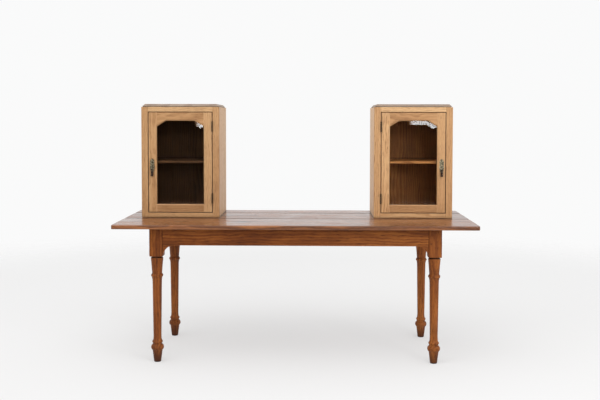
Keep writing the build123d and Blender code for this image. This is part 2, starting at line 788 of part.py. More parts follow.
def fitting_plane(y):
    """Upright plane at depth y, its origin on the fitting's centre line at cabinet foot level."""
    return Plane(origin=(PLATE_X, y, TOP_HEIGHT), x_dir=(1, 0, 0), z_dir=(0, -1, 0))


def plate_outline():
    """Backplate outline: arched top, narrow waist, a swelling at the keyhole, tapered foot."""
    with BuildSketch(fitting_plane(CABINET_FRONT)) as outline:
        with BuildLine():
            ThreePointArc((0, PLATE_BOTTOM), (5, 259.6), (7.5, 264))
            Spline((7.5, 264), (9.2, 275), (13.2, 288), tangents=((0.1, 1), (0.1, 1)))
            ThreePointArc((13.2, 288), (13.4, 295), (11, 301))
            ThreePointArc((11, 301), (10.4, 304), (12, 307))
            Line((12, 307), (12, 327))
            ThreePointArc((12, 327), (8.5, 328.5), (7.5, 332))
            ThreePointArc((7.5, 332), (4.8, 336.5), (0, PLATE_TOP))
            mirror(about=Plane.YZ)
        make_face()
    return outline.sketch


def escutcheon():
    """Backplate with its keyhole, nails, and the lugs and pin that carry the drop."""
    with BuildPart() as plate:
        extrude(plate_outline(), amount=PLATE_THICKNESS)
        for side in (-1, 1):
            lug_x = PLATE_X + side * (LUG_INNER + LUG_THICKNESS / 2)
            block(
                (lug_x - LUG_THICKNESS / 2, lug_x + LUG_THICKNESS / 2),
                (PIVOT_Y, PLATE_FRONT + PLATE_THICKNESS / 2),
                (PIVOT_Z - LUG_RADIUS, PIVOT_Z + LUG_RADIUS),
            )
            rod((lug_x, PIVOT_Y, PIVOT_Z), LUG_RADIUS, LUG_THICKNESS, "x")
        pin_length = 2 * (LUG_INNER + LUG_THICKNESS + PIN_RADIUS / 2)
        rod((PLATE_X, PIVOT_Y, PIVOT_Z), PIN_RADIUS, pin_length, "x")
        cut_keyhole(PLATE_FRONT - PLATE_THICKNESS, CABINET_FRONT + PLATE_THICKNESS)
        with Locations(*((PLATE_X, PLATE_FRONT, TOP_HEIGHT + z) for z in NAIL_HEIGHTS)):
            Sphere(NAIL_RADIUS)
    save_pair(plate.part, "escutcheon")


def drop_pull():
    """Turned pendant on a barrel that hangs from the lug pin."""
    with BuildPart() as drop:
        with BuildSketch(fitting_plane(PIVOT_Y)):
            with BuildLine():
                Line((0, PIVOT_HEIGHT), (0, DROP_BOTTOM))
                ThreePointArc((0, DROP_BOTTOM), (3.4, 238.5), (6, 240.5))
                ThreePointArc((6, 240.5), (7.6, 243.6), (6, 246.8))
                Line((6, 246.8), (3.6, 247.6))
                Spline((3.6, 247.6), (6, 259), (2.8, 270), tangents=((0.1, 1), (-0.1, 1)))
                Line((2.8, 270), (2.8, PIVOT_HEIGHT))
                Line((2.8, PIVOT_HEIGHT), (0, PIVOT_HEIGHT))
            make_face()
        revolve(axis=Axis((PLATE_X, PIVOT_Y, 0), (0, 0, 1)))
        rod((PLATE_X, PIVOT_Y, PIVOT_Z), LUG_RADIUS, BARREL_LENGTH, "x")
        bore = PIN_RADIUS + PIN_CLEARANCE
        rod((PLATE_X, PIVOT_Y, PIVOT_Z), bore, 2 * BARREL_LENGTH, "x", Mode.SUBTRACT)
    save_pair(drop.part, "drop_pull")


def bolt_limits(slack):
    """Box of the lock bolt when it is drawn back, with slack around it."""
    left = DOOR_LEFT + LOCK_SETBACK
    front = DOOR_BACK + CASE_WALL + BOLT_SETBACK
    bottom = KEYHOLE_Z + BOLT_ABOVE_KEYHOLE
    return (
        (left - slack, left + BOLT_LENGTH),
        (front - slack, front + BOLT_THICKNESS + slack),
        (bottom - slack, bottom + BOLT_HEIGHT + slack),
    )


def lock_case():
    """Sheet-metal lock case behind the lock stile, hollow, with a slot for the bolt."""
    left = DOOR_LEFT + LOCK_SETBACK
    right = left + CASE_WIDTH
    back = DOOR_BACK + CASE_THICKNESS
    bottom, top = KEYHOLE_Z - CASE_BELOW, KEYHOLE_Z + CASE_ABOVE
    with BuildPart() as case:
        block((left, right), (DOOR_BACK, back), (bottom, top))
        chamfer(case.faces().sort_by(Axis.Y)[-1].edges(), EASE)
        block(
            (left + CASE_WALL, right - CASE_WALL),
            (DOOR_BACK + CASE_WALL, back - CASE_WALL),
            (bottom + CASE_WALL, top - CASE_WALL),
            Mode.SUBTRACT,
        )
        slot_x, slot_y, slot_z = bolt_limits(BOLT_CLEARANCE)
        block((left, left + CASE_WALL), slot_y, slot_z, Mode.SUBTRACT)
        cut_keyhole(DOOR_BACK, DOOR_BACK + CASE_WALL)
        post = (DOOR_BACK + 2 * CASE_WALL, back - CASE_WALL / 2)
        rod((PLATE_X, sum(post) / 2, KEYHOLE_Z), CASE_WALL, post[1] - post[0], "y")
    save_pair(case.part, "lock_case")


def lock_bolt():
    """Sliding bolt with the notch that the key turns in."""
    with BuildPart() as bolt:
        limits = bolt_limits(0)
        block(*limits)
        block(
            (PLATE_X - TALON_WIDTH / 2, PLATE_X + TALON_WIDTH / 2),
            limits[1],
            (limits[2][0], limits[2][0] + TALON_DEPTH),
            Mode.SUBTRACT,
        )
    save_pair(bolt.part, "lock_bolt")


# ---- all pieces -------------------------------------------------------------------------
peg_group = tenon_pegs()
top_boards()
aprons(peg_group)
legs(peg_group)
apron_brackets()
top_bearers()

case_side("case_side_outer", CASE_LEFT, 1)
case_side("case_side_inner", CASE_RIGHT, -1)
case_floor()
case_back()
case_cap()
frame_rails()
frame_stile("frame_stile_lock", (CASE_LEFT, OPENING_LEFT))
frame_stile("frame_stile_hinge", (OPENING_RIGHT, CASE_RIGHT))
shelf()

door_ring = door_blank()
door_rails(door_ring)
door_stiles(door_ring)
door_glass()
glazing_beads()
hinge_frame_leaves()
hinge_door_leaves()
escutcheon()
drop_pull()
lock_case()
lock_bolt()
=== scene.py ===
import math
import random

import bmesh
import bpy
from mathutils import Matrix, Vector, noise


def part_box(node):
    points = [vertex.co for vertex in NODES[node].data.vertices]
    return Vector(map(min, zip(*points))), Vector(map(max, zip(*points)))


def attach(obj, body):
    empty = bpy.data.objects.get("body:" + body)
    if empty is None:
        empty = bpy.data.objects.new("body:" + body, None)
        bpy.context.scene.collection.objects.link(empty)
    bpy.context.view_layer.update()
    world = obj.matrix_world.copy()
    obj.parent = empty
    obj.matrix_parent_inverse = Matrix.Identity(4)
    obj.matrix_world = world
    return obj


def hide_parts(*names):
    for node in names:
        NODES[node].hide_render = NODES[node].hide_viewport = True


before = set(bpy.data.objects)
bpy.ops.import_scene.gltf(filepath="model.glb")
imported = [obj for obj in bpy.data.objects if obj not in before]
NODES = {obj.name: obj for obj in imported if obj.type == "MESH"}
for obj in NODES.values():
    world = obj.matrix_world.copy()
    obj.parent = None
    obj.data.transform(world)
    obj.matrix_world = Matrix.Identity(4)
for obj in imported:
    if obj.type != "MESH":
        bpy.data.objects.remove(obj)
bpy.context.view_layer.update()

SCENE = bpy.context.scene

# ---- camera: where the photograph was taken from ------------------------------------------
CAMERA_PLACE = (0.1138, -4.8899, 1.3156)
CAMERA_YAW = math.radians(-1.106)
CAMERA_PITCH = math.radians(2.5)
CAMERA_ROLL = math.radians(0.084)
CAMERA_LENS = 50.99
CAMERA_SENSOR = 36.0
CAMERA_SHIFT = -0.0685

# ---- studio -------------------------------------------------------------------------------
BACKDROP = (0.955, 0.957, 0.957)
FLOOR_COLOUR = (0.88, 0.88, 0.88)
FLOOR_GLOW = 0.75
FLOOR_LIFT = 0.55
FLOOR_RADIUS = 5.6
FLOOR_FADE = (3.2, 5.5)
SKY = 0.95
GROUND_GLOW = 0.80
FRONT_SKY = 0.78
BEHIND_CAMERA = 0.03
ROOM_TINT = (1.0, 0.55, 0.32)
WINDOW = 13.0
# Directions, in degrees: a height is above the horizon, and a side is away from the line
# behind the camera. Each pair is where something begins and where it is whole, or gone.
HORIZON = (-3.0, 3.0)
DARK_BOTTOM = (-26.0, -14.0)
DARK_TOP = (15.0, 25.0)
DARK_SIDE = (34.0, 62.0)
FRONT_BOTTOM = (17.0, 30.0)
FRONT_TOP = (50.0, 75.0)
FRONT_SIDE = (50.0, 85.0)
# The window's left edge is at the first side below the step, and at the second above it.
WINDOW_EDGES = (-0.8, 6.5)
WINDOW_STEP = (12.2, 12.6)
WINDOW_BLUR = (-0.2, 0.2)
WINDOW_RIGHT = (19.0, 20.0)
WINDOW_BOTTOM = (9.4, 9.8)
WINDOW_TOP = (15.0, 15.6)
# Each lamp: its name, its place, the point it faces, its two sizes and its power.
LAMPS = (
    ("overhead", (-0.6, -1.2, 3.3), (0.0, 0.0, 0.8), (2.8, 2.2), 26.0),
    ("window_light", (2.17, -2.83, 1.75), (0.67, 0.0, 1.1), (0.7, 0.8), 20.0),
)

# ---- finishes -----------------------------------------------------------------------------
# Each oak: a ramp from dark to light grain, the colours of its open pores and of its darkening,
# which darkens its knot and joints and, as painted shade, its hollows and door gaps, the width
# of its growth rings in metres, how fast their swirl changes across the grain, how strongly
# each part of the figure shows, its sheen, the colour of its rubbed edges and how strongly
# painted shade darkens its hollows.
OAKS = {
    "table_top_oak": {
        "ramp": ((0.056, 0.016, 0.004), (0.168, 0.053, 0.0135), (0.350, 0.128, 0.036)),
        "pore": (0.040, 0.013, 0.005),
        "darkening": (0.010, 0.005, 0.003),
        "rings": 0.012,
        "coarse": 0.8,
        "weights": (0.40, 0.85, 0.95, 0.30),
        "roughness": (0.13, 0.42),
        "edge_roughness": 0.34,
        "specular": 0.45,
        "coat": 0.30,
        "wear": (0.36, 0.13, 0.038),
        "hollow_shading": 0.95,
    },
    "table_frame_oak": {
        "ramp": ((0.050, 0.012, 0.003), (0.200, 0.054, 0.0095), (0.440, 0.150, 0.030)),
        "pore": (0.034, 0.010, 0.004),
        "darkening": (0.008, 0.004, 0.002),
        "rings": 0.013,
        "coarse": 0.55,
        "weights": (0.16, 1.00, 0.85, 0.40),
        "roughness": (0.44, 0.62),
        "edge_roughness": 0.0,
        "specular": 0.18,
        "coat": 0.0,
        "wear": (0.38, 0.14, 0.038),
        "hollow_shading": 0.95,
    },
    "cabinet_oak": {
        "ramp": ((0.310, 0.145, 0.052), (0.530, 0.290, 0.125), (0.720, 0.460, 0.235)),
        "pore": (0.210, 0.090, 0.035),
        "darkening": (0.012, 0.006, 0.003),
        "rings": 0.0062,
        "coarse": 1.0,
        "weights": (0.27, 0.46, 0.50, 0.38),
        "roughness": (0.48, 0.64),
        "edge_roughness": 0.0,
        "specular": 0.40,
        "coat": 0.0,
        "wear": (0.62, 0.39, 0.20),
        "hollow_shading": 0.92,
    },
    "case_interior_oak": {
        "ramp": ((0.085, 0.028, 0.007), (0.190, 0.068, 0.018), (0.310, 0.125, 0.038)),
        "pore": (0.050, 0.018, 0.008),
        "darkening": (0.008, 0.004, 0.002),
        "rings": 0.0085,
        "coarse": 1.0,
        "weights": (0.42, 0.60, 0.50, 0.30),
        "roughness": (0.55, 0.72),
        "edge_roughness": 0.0,
        "specular": 0.25,
        "coat": 0.0,
        "wear": (0.26, 0.12, 0.055),
        "hollow_shading": 0.8,
    },
}
# How bright each cabinet's inside stain and its outer wood are drawn, beside the oak they start
# from: painted shade darkens the left cabinet's inside and both cabinets' outer wood, the left
# more, and painted light lightens the right cabinet's inside.
INSIDE_LIGHT_AND_SHADE = {"left": 0.40, "right": 1.70}
CABINET_SHADE = {"left": 0.89, "right": 0.99}
# Heights between which the darkening near a foot fades, and distances from a joint between
# which its dirt fades. All are in metres, as are the sizes below.
FOOT_DARKENING = (0.035, 0.14)
SEAM_GRIME = (0.003, 0.009)
# Painted shade in hollows: how far it looks for nearby wood, and the occlusion over which it comes
# in.
HOLLOW_REACH = 0.016
HOLLOW_SHADE = (0.90, 0.42)
BLOTCHES = ((9.0, 9.0, 9.0), 4.0)
RUBBED_RADIUS = 0.0025
RUBBED_TURN = (0.995, 0.86)
RUBBED_PATCHES = ((28.0, 28.0, 28.0), 3.0)
GRAIN_BUMP = {"Strength": 0.35, "Distance": 0.0006}
# How far the inside stain goes into the wood at the cabinet's sides and front, and its back.
STAIN_EDGE = 0.0002
BACK_STAIN = 0.002
# The width of the gap round each door, in which a painted shadow is drawn.
DOOR_GAP = 0.003
# The knot: its place as a share of the front board's length and width, the distances between
# which its halo and its heart fade, its shape, and how ragged the grain makes it.
KNOT_PLACE = (0.352, 0.515)
KNOT_HALO = (0.012, 0.065)
KNOT_HEART = (0.014, 0.026)
KNOT_STRETCH = (0.6, 1.0, 0.0)
KNOT_RAGGED = 0.010

# ---- the figure of oak --------------------------------------------------------------------
# Noise: its frequency in cycles a metre with the grain along Z, then detail, roughness and
# distortion. A reach is how far the noise pushes the wood about, in metres.
SWIRL = ((7.0, 7.0, 1.9), 3.0, 0.6, 0.2)
SWIRL_REACH = (0.05, 0.05, 0.02)
RIPPLE = ((60.0, 60.0, 8.0), 2.0, 0.5)
RIPPLE_REACH = (0.005, 0.005, 0.0)
BROAD = ((11.0, 11.0, 1.5), 3.0)
STREAK = ((95.0, 95.0, 3.6), 3.0, 0.6)
FIBRE = ((900.0, 900.0, 26.0), 2.0, 0.6)
PITS = ((520.0, 520.0, 34.0), 1.0, 0.4)
LATE_WOOD = 0.22
# What differs from piece to piece: how far away the middle of the tree is, in metres, how
# wide the rings are beside the usual, and where in the noise the piece lies.
PITH_DISTANCE = (0.045, 0.13)
RING_SPREAD = (0.85, 1.2)
SEED_SPREAD = (0.0, 40.0)
INPUTS = ("Pith X", "Pith Y", "Ring", "Seed", "Coarse")
PARTS = ("Rings", "Broad", "Streak", "Fibre", "Pore")


# ---- shader helpers -----------------------------------------------------------------------
def add(tree, kind, inputs=None, **settings):
    """A new node, with its settings and inputs given; an input that is a socket is linked."""
    node = tree.nodes.new(kind)
    for name, value in settings.items():
        setattr(node, name, value)
    for key, value in (inputs or {}).items():
        if isinstance(value, bpy.types.NodeSocket):
            tree.links.new(value, node.inputs[key])
        else:
            node.inputs[key].default_value = value
    return node


def calc(tree, operation, *values):
    """The result of one arithmetic step on sockets or numbers."""
    return add(tree, "ShaderNodeMath", dict(enumerate(values)), operation=operation).outputs[0]


def vector_calc(tree, operation, *values):
    """The result of one step of vector arithmetic."""
    return add(
        tree, "ShaderNodeVectorMath", dict(enumerate(values)), operation=operation
    ).outputs[0]


def along_axis(tree, vector, axis):
    """One coordinate of a vector: 0 for X, 1 for Y or 2 for Z."""
    return add(tree, "ShaderNodeSeparateXYZ", {0: vector}).outputs[axis]


def length_of(tree, vector):
    """A vector's length."""
    return add(tree, "ShaderNodeVectorMath", {0: vector}, operation="LENGTH").outputs["Value"]


def from_middle(tree, where, box):
    """How far a place is from the middle of a box along each axis, and half its size."""
    low, high = box
    offset = vector_calc(tree, "SUBTRACT", where, (low + high) / 2)
    return vector_calc(tree, "ABSOLUTE", offset), (high - low) / 2


def colour(value):
    """A colour with its alpha, or the socket that it came as."""
    return value if isinstance(value, bpy.types.NodeSocket) else (*value, 1.0)


def mix(tree, factor, first, second):
    """Two colours mixed by a factor."""
    return add(
        tree,
        "ShaderNodeMix",
        {0: factor, 6: colour(first), 7: colour(second)},
        data_type="RGBA",
    ).outputs[2]


def ramp(tree, value, stops):
    """A colour read from evenly spaced stops."""
    node = add(tree, "ShaderNodeValToRGB", {0: value})
    elements = node.color_ramp.elements
    while len(elements) < len(stops):
        elements.new(0.5)
    for index, stop in enumerate(stops):
        elements[index].position = index / (len(stops) - 1)
        elements[index].color = (*stop, 1.0)
    return node.outputs[0]


def span(tree, value, low, high, to_low=0.0, to_high=1.0):
    """A value eased from one range into another."""
    return add(
        tree,
        "ShaderNodeMapRange",
        {0: value, 1: low, 2: high, 3: to_low, 4: to_high},
        interpolation_type="SMOOTHSTEP",
    ).outputs[0]


def noise_at(tree, vector, stretch, detail=2.0, roughness=0.55, distortion=0.0, output=0):
    """Noise with a different frequency along each axis, in cycles a metre."""
    return add(
        tree,
        "ShaderNodeTexNoise",
        {
            "Vector": vector_calc(tree, "MULTIPLY", vector, stretch),
            "Scale": 1.0,
            "Detail": detail,
            "Roughness": roughness,
            "Distortion": distortion,
        },
    ).outputs[output]


def new_material(name):
    """An empty node material with its output."""
    material = bpy.data.materials.new(name)
    material.use_nodes = True
    tree = material.node_tree
    tree.nodes.clear()
    return material, tree, add(tree, "ShaderNodeOutputMaterial")


# ---- oak ----------------------------------------------------------------------------------
def oak_figure():
    """The figure of oak: growth rings about a pith, streaks, fine fibres and open pores.
    The grain runs along Z."""
    group = bpy.data.node_groups.new("oak_figure", "ShaderNodeTree")
    face = group.interface
    face.new_socket("Vector", in_out="INPUT", socket_type="NodeSocketVector")
    for name in INPUTS:
        face.new_socket(name, in_out="INPUT", socket_type="NodeSocketFloat")
    for name in PARTS:
        face.new_socket(name, in_out="OUTPUT", socket_type="NodeSocketFloat")
    given = add(group, "NodeGroupInput").outputs
    seed = calc(group, "MULTIPLY", given["Seed"], 3.17)
    shift = add(group, "ShaderNodeCombineXYZ", {0: seed, 1: given["Seed"], 2: seed}).outputs[0]
    place = vector_calc(group, "ADD", given["Vector"], shift)
    coarse = add(
        group, "ShaderNodeCombineXYZ", {0: given["Coarse"], 1: given["Coarse"], 2: 1.0}
    ).outputs[0]
    bulk = vector_calc(group, "MULTIPLY", place, coarse)

    swirl = noise_at(group, bulk, *SWIRL, output=1)
    swirl = vector_calc(group, "SUBTRACT", swirl, (0.5, 0.5, 0.5))
    swirl = vector_calc(group, "MULTIPLY", swirl, SWIRL_REACH)
    ripple = noise_at(group, place, *RIPPLE, output=1)
    ripple = vector_calc(group, "SUBTRACT", ripple, (0.5, 0.5, 0.5))
    ripple = vector_calc(group, "MULTIPLY", ripple, RIPPLE_REACH)
    bent = vector_calc(group, "ADD", vector_calc(group, "ADD", given["Vector"], swirl), ripple)
    parts = add(group, "ShaderNodeSeparateXYZ", {0: bent}).outputs
    across = calc(group, "SUBTRACT", parts[0], given["Pith X"])
    through = calc(group, "SUBTRACT", parts[1], given["Pith Y"])
    squares = calc(
        group,
        "ADD",
        calc(group, "MULTIPLY", across, across),
        calc(group, "MULTIPLY", through, through),
    )
    years = calc(group, "DIVIDE", calc(group, "SQRT", squares), given["Ring"])
    phase = calc(group, "FRACT", years)
    rise = span(group, phase, 0.0, LATE_WOOD)
    fall = span(group, phase, LATE_WOOD, 1.0, 1.0, 0.0)
    rings = calc(group, "SUBTRACT", 1.0, calc(group, "MULTIPLY", rise, fall))

    moved = vector_calc(group, "ADD", bulk, swirl)
    broad = noise_at(group, moved, *BROAD)
    streak = noise_at(group, moved, *STREAK)
    fibre = noise_at(group, place, *FIBRE)
    pits = noise_at(group, place, *PITS)
    open_pores = span(group, pits, 0.56, 0.70)
    early = span(group, rings, 0.25, 0.75, 1.0, 0.25)
    pore = calc(group, "MULTIPLY", open_pores, early)

    out = add(group, "NodeGroupOutput")
    for name, value in zip(PARTS, (rings, broad, streak, fibre, pore)):
        group.links.new(value, out.inputs[name])
    return group


FIGURE = oak_figure()
ALONG = {"x": (1, 2, 0), "y": (2, 0, 1), "z": (0, 1, 2)}


def grain_axis(low, high):
    """The axis along which a piece is longest, which is how its grain runs."""
    size = high - low
    return "xyz"[max(range(3), key=lambda axis: size[axis])]


def centred(tree, centre, axis):
    """Object coordinates, and the same about a piece's middle with its grain along Z."""
    where = add(tree, "ShaderNodeTexCoord").outputs["Object"]
    parts = add(
        tree, "ShaderNodeSeparateXYZ", {0: vector_calc(tree, "SUBTRACT", where, centre)}
    ).outputs
    first, second, third = ALONG[axis]
    turned = add(
        tree, "ShaderNodeCombineXYZ", {0: parts[first], 1: parts[second], 2: parts[third]}
    ).outputs[0]
    return where, turned


def weighted(tree, figure, weights, tone_and_light):
    """The tone of the wood, 0 dark to 1 light, from the parts of its figure."""
    total = 0.5 + tone_and_light
    for name, weight in zip(PARTS, weights):
        offset = calc(tree, "SUBTRACT", figure[name], 0.5)
        total = calc(tree, "MULTIPLY_ADD", offset, weight, total)
    return total


def within(tree, where, box):
    """1 inside a box and 0 outside it."""
    apart, half = from_middle(tree, where, box)
    parts = add(tree, "ShaderNodeSeparateXYZ", {0: apart}).outputs
    inside = 1.0
    for axis in range(3):
        inside = calc(tree, "MULTIPLY", calc(tree, "LESS_THAN", parts[axis], half[axis]), inside)
    return inside


def scaled(stops, factor):
    """Colours made darker or lighter."""
    return [tuple(channel * factor for channel in stop) for stop in stops]


def figure_node(tree, turned, finish, rng, pith):
    """The outputs of the oak figure for one piece, cut from its own part of the tree."""
    angle = rng.uniform(0.0, math.tau)
    distance = rng.uniform(*PITH_DISTANCE)
    pith = pith or (distance * math.cos(angle), distance * math.sin(angle))
    ring = finish["rings"] * rng.uniform(*RING_SPREAD)
    seed = rng.uniform(*SEED_SPREAD)
    node = add(tree, "ShaderNodeGroup", node_tree=FIGURE)
    tree.links.new(turned, node.inputs["Vector"])
    for name, value in zip(INPUTS, (*pith, ring, seed, finish["coarse"])):
        node.inputs[name].default_value = value
    return node.outputs


def rub_edges(tree, base, where, face, finish):
    """Paler wood in patches along the edges that hands and cloths have rubbed."""
    edge = add(tree, "ShaderNodeBevel", {"Radius": RUBBED_RADIUS}, samples=4).outputs[0]
    facing = add(tree, "ShaderNodeVectorMath", {0: edge, 1: face}, operation="DOT_PRODUCT")
    rubbed = span(tree, facing.outputs["Value"], *RUBBED_TURN)
    patchy = span(tree, noise_at(tree, where, *RUBBED_PATCHES), 0.38, 0.62)
    rubbed = calc(tree, "MULTIPLY", rubbed, calc(tree, "MULTIPLY", patchy, 0.6))
    return mix(tree, rubbed, base, finish["wear"])


def mark_knot(tree, base, where, streak, finish, knot):
    """A dark knot with a darker halo."""
    offset = vector_calc(tree, "SUBTRACT", where, knot)
    reach = length_of(tree, vector_calc(tree, "MULTIPLY", offset, KNOT_STRETCH))
    ragged = calc(tree, "MULTIPLY_ADD", streak, KNOT_RAGGED, reach)
    base = mix(tree, span(tree, ragged, *KNOT_HALO, 0.70, 0.0), base, finish["pore"])
    return mix(tree, span(tree, ragged, *KNOT_HEART, 1.0, 0.0), base, finish["darkening"])


def blotch_and_shade(tree, base, where, finish):
    """Dark blotches, and painted shade in the hollows and where pieces meet."""
    hollow = add(
        tree, "ShaderNodeAmbientOcclusion", {"Distance": HOLLOW_REACH}, samples=4
    ).outputs["AO"]
    # Painted shade: darker where nearby surfaces hide the surroundings.
    darkening = calc(tree, "MULTIPLY", span(tree, hollow, *HOLLOW_SHADE), finish["hollow_shading"])
    blotch = span(tree, noise_at(tree, where, *BLOTCHES), 0.52, 0.75, 0.0, 0.28)
    base = mix(tree, blotch, base, finish["pore"])
    return mix(tree, darkening, base, finish["darkening"])


def darken_foot(tree, base, where, broad, finish):
    """The wood made darker towards the floor."""
    ragged = calc(tree, "MULTIPLY_ADD", broad, 0.05, along_axis(tree, where, 2))
    foot_colour = scaled([finish["pore"]], 0.9)[0]
    return mix(tree, span(tree, ragged, *FOOT_DARKENING, 0.72, 0.0), base, foot_colour)


def near_seams(tree, where, seams):
    """1 at the joints between boards, given by their places in Y, and 0 away from them."""
    across = along_axis(tree, where, 1)
    near = 0.0
    for seam in seams:
        away = calc(tree, "ABSOLUTE", calc(tree, "SUBTRACT", across, seam))
        near = calc(tree, "MAXIMUM", near, span(tree, away, *SEAM_GRIME, 1.0, 0.0))
    return near


def in_door_gap(tree, where, door):
    """Nearly 1 in the gap round a door and 0 away from it, where a painted shadow goes."""
    apart, half = from_middle(tree, where, door)
    beyond = add(
        tree, "ShaderNodeSeparateXYZ", {0: vector_calc(tree, "SUBTRACT", apart, half)}
    ).outputs
    outside = calc(tree, "MAXIMUM", beyond[0], beyond[2])
    from_gap = calc(tree, "ABSOLUTE", calc(tree, "SUBTRACT", outside, DOOR_GAP / 2))
    return span(tree, from_gap, DOOR_GAP * 0.55, DOOR_GAP * 0.85, 0.94, 0.0)


def oak(name, box, finish, rng, tone_and_light, pith=None, stained=None, knot=None, seams=(), door=None):
    """A solid oak finish for one piece of wood in its box, made lighter by the given amount, which
    for some pieces is painted light and painted sheen. pith is where the middle of the tree lies.
    The stain box is a box inside which the wood has the dark stain of the cabinet's inside, given
    with how bright that stain is drawn, which is painted shade in the left cabinet and painted
    light in the right. knot is the place of a knot. seams are the places in Y of joints that hold
    dirt, and door is the box of the door in whose gap a painted shadow is drawn."""
    material, tree, output = new_material(name)
    low, high = box
    where, turned = centred(tree, (low + high) / 2, grain_axis(low, high))
    face = add(tree, "ShaderNodeNewGeometry").outputs["Normal"]
    figure = figure_node(tree, turned, finish, rng, pith)
    tone = weighted(tree, figure, finish["weights"], tone_and_light)
    base = ramp(tree, tone, finish["ramp"])
    base = mix(tree, calc(tree, "MULTIPLY", figure["Pore"], 0.75), base, finish["pore"])
    base = rub_edges(tree, base, where, face, finish)
    if knot:
        base = mark_knot(tree, base, where, figure["Streak"], finish, knot)
    if stained:
        # Inside the cabinet the stain is drawn with painted shade in the left one and painted
        # light in the right one.
        inside, shade = stained
        inner = ramp(tree, tone, scaled(OAKS["case_interior_oak"]["ramp"], shade))
        base = mix(tree, within(tree, where, inside), base, inner)
    base = blotch_and_shade(tree, base, where, finish)
    if low.z < FOOT_DARKENING[0]:
        base = darken_foot(tree, base, where, figure["Broad"], finish)
    packed = 0.0
    if seams:
        packed = near_seams(tree, where, seams)
        base = mix(tree, calc(tree, "MULTIPLY", packed, 0.85), base, finish["darkening"])
    if door:
        # A painted shadow in the gap round the door.
        base = mix(tree, in_door_gap(tree, where, door), base, finish["darkening"])

    roughness = span(tree, figure["Streak"], 0.35, 0.65, *finish["roughness"])
    roughness = calc(tree, "MULTIPLY_ADD", packed, 0.4, roughness)
    if finish["edge_roughness"]:
        upward = along_axis(tree, face, 2)
        dull = span(tree, upward, 0.35, 0.85, finish["edge_roughness"], 0.0)
        roughness = calc(tree, "ADD", roughness, dull)
    roughness = calc(tree, "MULTIPLY_ADD", figure["Pore"], 0.2, roughness)
    height = calc(tree, "MULTIPLY", figure["Rings"], 0.25)
    height = calc(tree, "MULTIPLY_ADD", figure["Pore"], -0.6, height)
    height = calc(tree, "MULTIPLY_ADD", figure["Fibre"], 0.25, height)
    bump = add(tree, "ShaderNodeBump", {**GRAIN_BUMP, "Height": height}).outputs[0]
    shader = add(
        tree,
        "ShaderNodeBsdfPrincipled",
        {
            "Base Color": base,
            "Roughness": roughness,
            "Normal": bump,
            "Specular IOR Level": finish["specular"],
            "Coat Weight": finish["coat"],
            "Coat Roughness": 0.12,
        },
    )
    tree.links.new(shader.outputs[0], output.inputs[0])
    return material


# ---- metal and glass ----------------------------------------------------------------------
def aged_metal(name, clean, tarnish, roughness, metallic, scale=220.0):
    """Metal with patches of tarnish and dirt in its hollows."""
    material, tree, output = new_material(name)
    where = add(tree, "ShaderNodeTexCoord").outputs["Object"]
    patches = noise_at(tree, where, (scale, scale, scale), 4.0, 0.6)
    fine = noise_at(tree, where, (scale * 7, scale * 7, scale * 7), 2.0, 0.6)
    base = mix(tree, span(tree, patches, 0.36, 0.64), clean, tarnish)
    hollow = add(tree, "ShaderNodeAmbientOcclusion", {"Distance": 0.004}, samples=4).outputs["AO"]
    darkening = span(tree, hollow, 0.8, 0.3, 0.0, 0.8)
    base = mix(tree, darkening, base, scaled([tarnish], 0.35)[0])
    rough = span(tree, patches, 0.3, 0.7, roughness - 0.1, roughness + 0.12)
    rough = calc(tree, "MULTIPLY_ADD", fine, 0.1, rough)
    bump = add(
        tree, "ShaderNodeBump", {"Strength": 0.3, "Distance": 0.0003, "Height": fine}
    ).outputs[0]
    shader = add(
        tree,
        "ShaderNodeBsdfPrincipled",
        {"Base Color": base, "Roughness": rough, "Normal": bump, "Metallic": metallic},
    )
    tree.links.new(shader.outputs[0], output.inputs[0])
    return material


def pane(name):
    """Old clear glass that lets lamps through to the shelves, with a film of dust."""
    material, tree, output = new_material(name)
    where = add(tree, "ShaderNodeTexCoord").outputs["Object"]
    film = noise_at(tree, where, (9.0, 9.0, 14.0), 4.0, 0.6)
    waves = noise_at(tree, where, (14.0, 14.0, 6.0), 1.0, 0.4)
    bump = add(
        tree, "ShaderNodeBump", {"Strength": 0.005, "Distance": 0.0004, "Height": waves}
    ).outputs[0]
    glass = add(
        tree,
        "ShaderNodeBsdfPrincipled",
        {
            "Base Color": mix(
                tree, span(tree, film, 0.4, 0.8), (0.94, 0.965, 0.95), (0.86, 0.87, 0.84)
            ),
            "Roughness": 0.0,
            "IOR": 1.5,
            "Transmission Weight": 1.0,
            "Normal": bump,
        },
    )
    clear = add(tree, "ShaderNodeBsdfTransparent", {"Color": (0.9, 0.93, 0.91, 1.0)})
    path = add(tree, "ShaderNodeLightPath").outputs["Is Shadow Ray"]
    both = add(
        tree, "ShaderNodeMixShader", {0: path, 1: glass.outputs[0], 2: clear.outputs[0]}
    )
    tree.links.new(both.outputs[0], output.inputs[0])
    return material


# ---- every CAD piece gets its finish ------------------------------------------------------
def interior(side):
    """The box of a cabinet's inside, which its dark stain fills."""
    outer_low, outer_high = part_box(side + "_case_side_outer")
    inner_low, inner_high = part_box(side + "_case_side_inner")
    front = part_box(side + "_frame_rail_top")[1].y
    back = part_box(side + "_case_back")[0].y
    left = min(outer_high.x, inner_high.x)
    right = max(outer_low.x, inner_low.x)
    low = Vector((left - STAIN_EDGE, front - STAIN_EDGE, outer_low.z))
    high = Vector((right + STAIN_EDGE, back + BACK_STAIN, outer_high.z))
    return low, high


def door_box(side):
    """The box of a cabinet's closed door."""
    hinge_low, hinge_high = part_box(side + "_door_stile_hinge")
    lock_low, lock_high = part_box(side + "_door_stile_lock")
    return Vector(map(min, hinge_low, lock_low)), Vector(map(max, hinge_high, lock_high))


